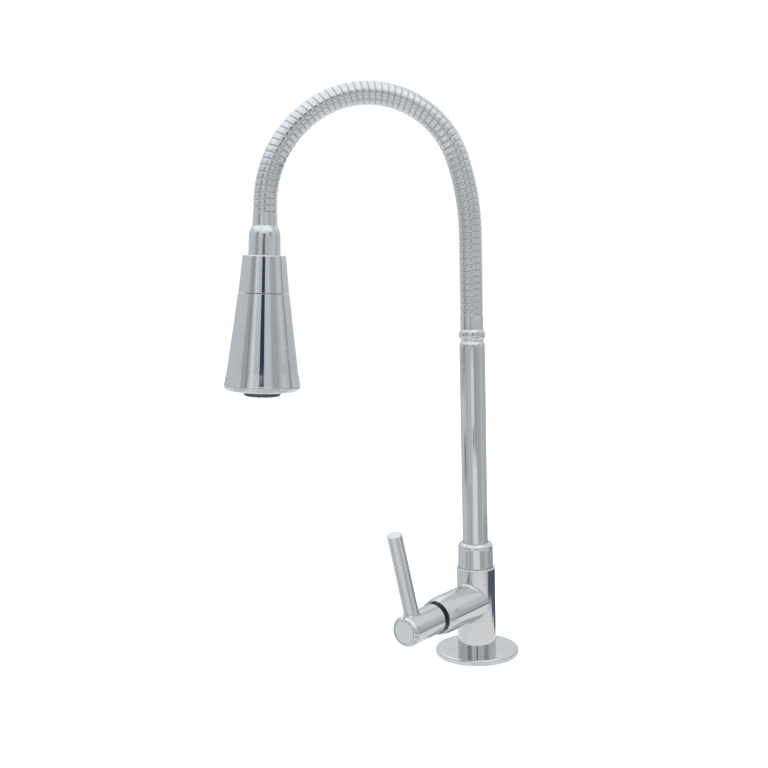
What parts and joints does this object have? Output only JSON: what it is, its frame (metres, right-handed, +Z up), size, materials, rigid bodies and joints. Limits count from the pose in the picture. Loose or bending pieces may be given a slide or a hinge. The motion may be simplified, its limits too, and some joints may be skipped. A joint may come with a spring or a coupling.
{
  "type": "kitchen tap",
  "caption": "Single-lever kitchen tap with a round base plate, swivelling riser, bendable ribbed gooseneck spout and a swivelling spray head with a twist jet ring.",
  "frame": {"origin": "on the worktop, at the middle of the underside of the base plate", "axes": "+Z up along the riser; the spout reaches along -Y at rest; +X to the right as seen from the spray head side facing +Y; the side barrel with the lever points half way between +X and -Y"},
  "size_m": [0.1083, 0.2155, 0.4838],
  "materials": {
    "polished_chrome": "polished",
    "hose_chrome": "polished",
    "head_chrome": "polished",
    "brass": "satin",
    "zinc_steel": "satin",
    "black_rubber": "matte",
    "white_ceramic": "matte",
    "white_plastic": "satin",
    "grey_plastic": "satin",
    "tube_silicone": "matte"
  },
  "bodies": {
    "base_unit": {"base_plate": "polished_chrome", "base_gasket": "black_rubber", "inlet_shank": "brass", "deck_seal": "black_rubber", "clamp_washer": "zinc_steel", "backnut": "brass", "tap_body": "polished_chrome", "seat_seal": "black_rubber", "fixed_ceramic_disc": "white_ceramic", "valve_housing": "brass", "valve_o_ring": "black_rubber", "slip_washer": "white_plastic", "swivel_bush": "white_plastic", "swivel_collar": "polished_chrome"},
    "handle": {"handle": "polished_chrome", "handle_screw": "zinc_steel", "hub_cap": "polished_chrome", "valve_spindle": "brass", "spindle_clip": "zinc_steel", "turning_ceramic_disc": "white_ceramic"},
    "riser": {"riser_tube": "polished_chrome", "riser_o_rings": "black_rubber", "riser_tip": "polished_chrome", "hose_ferrule": "polished_chrome", "hose_section_01": "hose_chrome", "inner_tube": "tube_silicone"},
    "hose_2": {"hose_section_02": "hose_chrome"},
    "hose_3": {"hose_section_03": "hose_chrome"},
    "hose_4": {"hose_section_04": "hose_chrome"},
    "hose_5": {"hose_section_05": "hose_chrome"},
    "hose_6": {"hose_section_06": "hose_chrome"},
    "hose_7": {"hose_section_07": "hose_chrome"},
    "hose_8": {"hose_section_08": "hose_chrome"},
    "hose_9": {"hose_section_09": "hose_chrome"},
    "hose_end": {"hose_section_10": "hose_chrome", "hose_bell": "polished_chrome", "swivel_ball": "brass"},
    "ball_socket": {"socket_cap": "white_plastic", "socket_cup": "white_plastic", "swivel_seal": "black_rubber"},
    "spray_head": {"head_upper_cone": "head_chrome", "head_core": "grey_plastic", "strainer": "zinc_steel", "jet_ring_clip": "zinc_steel"},
    "spray_nozzle": {"head_lower_cone": "head_chrome", "spray_plate": "grey_plastic", "spray_o_ring": "black_rubber", "spray_face": "black_rubber", "face_ring": "head_chrome", "stream_aerator": "grey_plastic"}
  },
  "joints": [
    {"name": "handle_turn", "type": "hinge", "parent": "base_unit", "child": "handle", "pos_m": [0, 0, 0.0415], "axis": [0.7071, -0.7071, 0], "range_deg": [0, 90]},
    {"name": "spout_swivel", "type": "hinge", "parent": "base_unit", "child": "riser", "pos_m": [0, 0, 0], "axis": [0, 0, 1], "continuous": true},
    {"name": "hose_bend_1", "type": "hinge", "parent": "riser", "child": "hose_2", "pos_m": [0, 0, 0.29048], "axis": [1, 0, 0], "range_deg": [-4.5, 2], "deforming": ["inner_tube"]},
    {"name": "hose_bend_2", "type": "hinge", "parent": "hose_2", "child": "hose_3", "pos_m": [0, -0.00013, 0.32316], "axis": [1, 0, 0], "range_deg": [-4.5, 2]},
    {"name": "hose_bend_3", "type": "hinge", "parent": "hose_3", "child": "hose_4", "pos_m": [0, -0.00423, 0.35553], "axis": [1, 0, 0], "range_deg": [-4.5, 2]},
    {"name": "hose_bend_4", "type": "hinge", "parent": "hose_4", "child": "hose_5", "pos_m": [0, -0.01511, 0.38619], "axis": [1, 0, 0], "range_deg": [-4.5, 2]},
    {"name": "hose_bend_5", "type": "hinge", "parent": "hose_5", "child": "hose_6", "pos_m": [0, -0.03787, 0.4092], "axis": [1, 0, 0], "range_deg": [-4.5, 2]},
    {"name": "hose_bend_6", "type": "hinge", "parent": "hose_6", "child": "hose_7", "pos_m": [0, -0.06865, 0.41921], "axis": [1, 0, 0], "range_deg": [-4.5, 2]},
    {"name": "hose_bend_7", "type": "hinge", "parent": "hose_7", "child": "hose_8", "pos_m": [0, -0.1006, 0.41399], "axis": [1, 0, 0], "range_deg": [-4.5, 2]},
    {"name": "hose_bend_8", "type": "hinge", "parent": "hose_8", "child": "hose_9", "pos_m": [0, -0.1271, 0.39526], "axis": [1, 0, 0], "range_deg": [-4.5, 2]},
    {"name": "hose_bend_9", "type": "hinge", "parent": "hose_9", "child": "hose_end", "pos_m": [0, -0.14421, 0.36767], "axis": [1, 0, 0], "range_deg": [-4.5, 2]},
    {"name": "head_tilt", "type": "hinge", "parent": "hose_end", "child": "ball_socket", "pos_m": [0, -0.15184, 0.29367], "axis": [1, 0, 0], "range_deg": [-7, 7]},
    {"name": "head_spin", "type": "hinge", "parent": "ball_socket", "child": "spray_head", "pos_m": [0, -0.15184, 0.29367], "axis": [0, -0.0523, -0.9986], "continuous": true},
    {"name": "jet_twist", "type": "hinge", "parent": "spray_head", "child": "spray_nozzle", "pos_m": [0, -0.15264, 0.27829], "axis": [0, -0.0523, -0.9986], "range_deg": [0, 60]}
  ],
  "couplings": [
    {"joint": "hose_bend_2", "follows": "hose_bend_1", "ratio": 1},
    {"joint": "hose_bend_3", "follows": "hose_bend_1", "ratio": 1},
    {"joint": "hose_bend_4", "follows": "hose_bend_1", "ratio": 1},
    {"joint": "hose_bend_5", "follows": "hose_bend_1", "ratio": 1},
    {"joint": "hose_bend_6", "follows": "hose_bend_1", "ratio": 1},
    {"joint": "hose_bend_7", "follows": "hose_bend_1", "ratio": 1},
    {"joint": "hose_bend_8", "follows": "hose_bend_1", "ratio": 1},
    {"joint": "hose_bend_9", "follows": "hose_bend_1", "ratio": 1}
  ]
}
